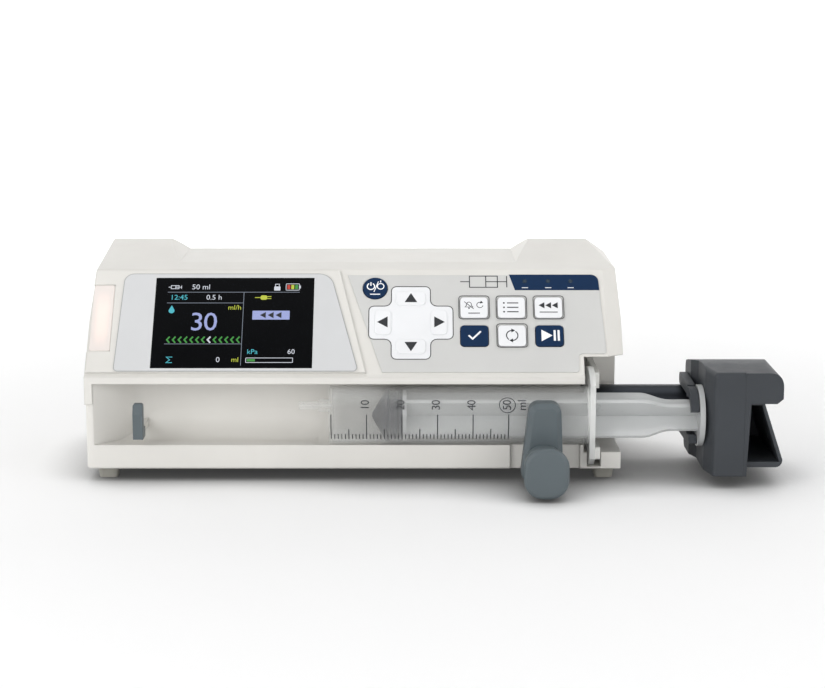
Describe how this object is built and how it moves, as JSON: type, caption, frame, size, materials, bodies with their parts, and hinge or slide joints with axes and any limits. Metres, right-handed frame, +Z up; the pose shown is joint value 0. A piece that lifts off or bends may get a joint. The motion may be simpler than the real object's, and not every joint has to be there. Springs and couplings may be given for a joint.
{
  "type": "syringe infusion pump",
  "caption": "Bench-top infusion pump that drives a 50 ml syringe: sloped screen and key panel over a syringe bay, sliding driver head at the right and a swinging barrel clamp.",
  "frame": {"origin": "on the table, below the middle of the overall outline", "axes": "+X along the syringe towards the driver head, +Y to the back, +Z up"},
  "size_m": [0.35, 0.15, 0.1104],
  "materials": {
    "case_white": "satin",
    "lens_white": "satin",
    "label_grey": "matte",
    "window_black": "gloss",
    "overlay_grey": "matte",
    "navy": "satin",
    "key_white": "satin",
    "led_clear": "gloss",
    "board_green": "matte",
    "silicone": "matte",
    "foot_rubber": "matte",
    "screw_steel": "satin",
    "plate_metal": "satin",
    "socket_black": "matte",
    "pack_blue": "satin",
    "frame_steel": "satin",
    "bearing_bronze": "satin",
    "motor_black": "satin",
    "gear_plastic": "matte",
    "tube_dark": "satin",
    "driver_grey": "satin",
    "clamp_grey": "satin",
    "syringe_clear": "gloss",
    "plunger_clear": "satin",
    "piston_rubber": "satin",
    "clip_white": "satin"
  },
  "bodies": {
    "case": {"alarm_light_lens": "lens_white", "battery_pack": "pack_blue", "case_screws": "screw_steel", "clamp_guide": "frame_steel", "clamp_spring": "screw_steel", "data_connector": "plate_metal", "display_label": "label_grey", "display_window": "window_black", "drive_frame": "frame_steel", "feet": "foot_rubber", "flange_clip": "clip_white", "guide_rod": "screw_steel", "indicator_leds": "led_clear", "indicator_strip": "navy", "key_domes": "silicone", "keypad_board": "board_green", "keypad_overlay": "overlay_grey", "lcd_module": "socket_black", "lower_case": "case_white", "main_board": "board_green", "mains_inlet": "socket_black", "mount_plate": "plate_metal", "power_supply": "frame_steel", "screw_bearings": "bearing_bronze", "speaker": "motor_black", "stepper_motor": "motor_black", "syringe_barrel": "syringe_clear", "tube_bushing": "socket_black", "tube_hook": "clamp_grey", "upper_case": "case_white"},
    "driver": {"carriage": "plate_metal", "drive_tube": "tube_dark", "head_shell": "driver_grey", "head_cover": "driver_grey", "lever_pin": "screw_steel", "plunger_rod": "plunger_clear", "piston": "piston_rubber"},
    "half_nut": {"half_nut": "bearing_bronze"},
    "release_rod": {"release_rod": "screw_steel"},
    "release_lever": {"release_lever": "driver_grey"},
    "claw_upper": {"claw_upper": "driver_grey"},
    "claw_lower": {"claw_lower": "driver_grey"},
    "screw": {"lead_screw": "screw_steel", "screw_gear": "gear_plastic"},
    "motor_rotor": {"motor_pinion": "bearing_bronze"},
    "clamp_slider": {"clamp_slider": "bearing_bronze"},
    "clamp": {"clamp_shaft": "screw_steel", "clamp_arm": "clamp_grey", "clamp_knob": "clamp_grey"},
    "power_key": {"power_key": "navy"},
    "up_key": {"up_key": "key_white"},
    "down_key": {"down_key": "key_white"},
    "left_key": {"left_key": "key_white"},
    "right_key": {"right_key": "key_white"},
    "clear_key": {"clear_key": "key_white"},
    "menu_key": {"menu_key": "key_white"},
    "bolus_key": {"bolus_key": "key_white"},
    "ok_key": {"ok_key": "navy"},
    "mode_key": {"mode_key": "key_white"},
    "start_key": {"start_key": "navy"}
  },
  "joints": [
    {"name": "driver_slide", "type": "slide", "parent": "case", "child": "driver", "axis": [1, 0, 0], "range_m": [-0.019, 0.062]},
    {"name": "screw_spin", "type": "hinge", "parent": "case", "child": "screw", "pos_m": [0, 0.033, 0.033], "axis": [1, 0, 0], "continuous": true},
    {"name": "motor_spin", "type": "hinge", "parent": "case", "child": "motor_rotor", "pos_m": [-0.06, 0.033, 0.0499], "axis": [1, 0, 0], "continuous": true},
    {"name": "lever_squeeze", "type": "hinge", "parent": "driver", "child": "release_lever", "pos_m": [0.16, -0.0155, 0.0475], "axis": [0, 1, 0], "range_deg": [0, 9], "stiffness_Nm_per_rad": 0.6, "springref_deg": -2.86},
    {"name": "rod_twist", "type": "hinge", "parent": "driver", "child": "release_rod", "pos_m": [0.06, 0.005, 0.033], "axis": [1, 0, 0], "range_deg": [0, 36]},
    {"name": "nut_release", "type": "slide", "parent": "driver", "child": "half_nut", "axis": [0, -1, 0], "range_m": [0, 0.003]},
    {"name": "upper_claw_swing", "type": "hinge", "parent": "driver", "child": "claw_upper", "pos_m": [0.1317, 0.005, 0.0456], "axis": [1, 0, 0], "range_deg": [-27, 0]},
    {"name": "lower_claw_swing", "type": "hinge", "parent": "driver", "child": "claw_lower", "pos_m": [0.1317, 0.005, 0.0204], "axis": [1, 0, 0], "range_deg": [0, 18]},
    {"name": "clamp_pull", "type": "slide", "parent": "case", "child": "clamp_slider", "axis": [0, -1, 0], "range_m": [0, 0.012], "stiffness_N_per_m": 500, "springref_m": -0.004, "deforming": ["clamp_spring"]},
    {"name": "clamp_turn", "type": "hinge", "parent": "clamp_slider", "child": "clamp", "pos_m": [0.0552, -0.05, 0.0134], "axis": [0, 1, 0], "range_deg": [-100, 0]},
    {"name": "power_press", "type": "slide", "parent": "case", "child": "power_key", "axis": [0, 0.7649, -0.6441], "range_m": [0, 0.0006], "stiffness_N_per_m": 800, "springref_m": -0.0003},
    {"name": "up_press", "type": "slide", "parent": "case", "child": "up_key", "axis": [0, 0.7649, -0.6441], "range_m": [0, 0.0006], "stiffness_N_per_m": 800, "springref_m": -0.0003},
    {"name": "down_press", "type": "slide", "parent": "case", "child": "down_key", "axis": [0, 0.7649, -0.6441], "range_m": [0, 0.0006], "stiffness_N_per_m": 800, "springref_m": -0.0003},
    {"name": "left_press", "type": "slide", "parent": "case", "child": "left_key", "axis": [0, 0.7649, -0.6441], "range_m": [0, 0.0006], "stiffness_N_per_m": 800, "springref_m": -0.0003},
    {"name": "right_press", "type": "slide", "parent": "case", "child": "right_key", "axis": [0, 0.7649, -0.6441], "range_m": [0, 0.0006], "stiffness_N_per_m": 800, "springref_m": -0.0003},
    {"name": "clear_press", "type": "slide", "parent": "case", "child": "clear_key", "axis": [0, 0.7649, -0.6441], "range_m": [0, 0.0006], "stiffness_N_per_m": 800, "springref_m": -0.0003},
    {"name": "menu_press", "type": "slide", "parent": "case", "child": "menu_key", "axis": [0, 0.7649, -0.6441], "range_m": [0, 0.0006], "stiffness_N_per_m": 800, "springref_m": -0.0003},
    {"name": "bolus_press", "type": "slide", "parent": "case", "child": "bolus_key", "axis": [0, 0.7649, -0.6441], "range_m": [0, 0.0006], "stiffness_N_per_m": 800, "springref_m": -0.0003},
    {"name": "ok_press", "type": "slide", "parent": "case", "child": "ok_key", "axis": [0, 0.7649, -0.6441], "range_m": [0, 0.0006], "stiffness_N_per_m": 800, "springref_m": -0.0003},
    {"name": "mode_press", "type": "slide", "parent": "case", "child": "mode_key", "axis": [0, 0.7649, -0.6441], "range_m": [0, 0.0006], "stiffness_N_per_m": 800, "springref_m": -0.0003},
    {"name": "start_press", "type": "slide", "parent": "case", "child": "start_key", "axis": [0, 0.7649, -0.6441], "range_m": [0, 0.0006], "stiffness_N_per_m": 800, "springref_m": -0.0003}
  ],
  "couplings": [
    {"joint": "screw_spin", "follows": "driver_slide", "rad_per_m": -1570.8},
    {"joint": "motor_spin", "follows": "driver_slide", "rad_per_m": 3927},
    {"joint": "rod_twist", "follows": "lever_squeeze", "ratio": 4},
    {"joint": "nut_release", "follows": "lever_squeeze", "m_per_rad": 0.018},
    {"joint": "upper_claw_swing", "follows": "lever_squeeze", "ratio": -3},
    {"joint": "lower_claw_swing", "follows": "lever_squeeze", "ratio": 2}
  ]
}
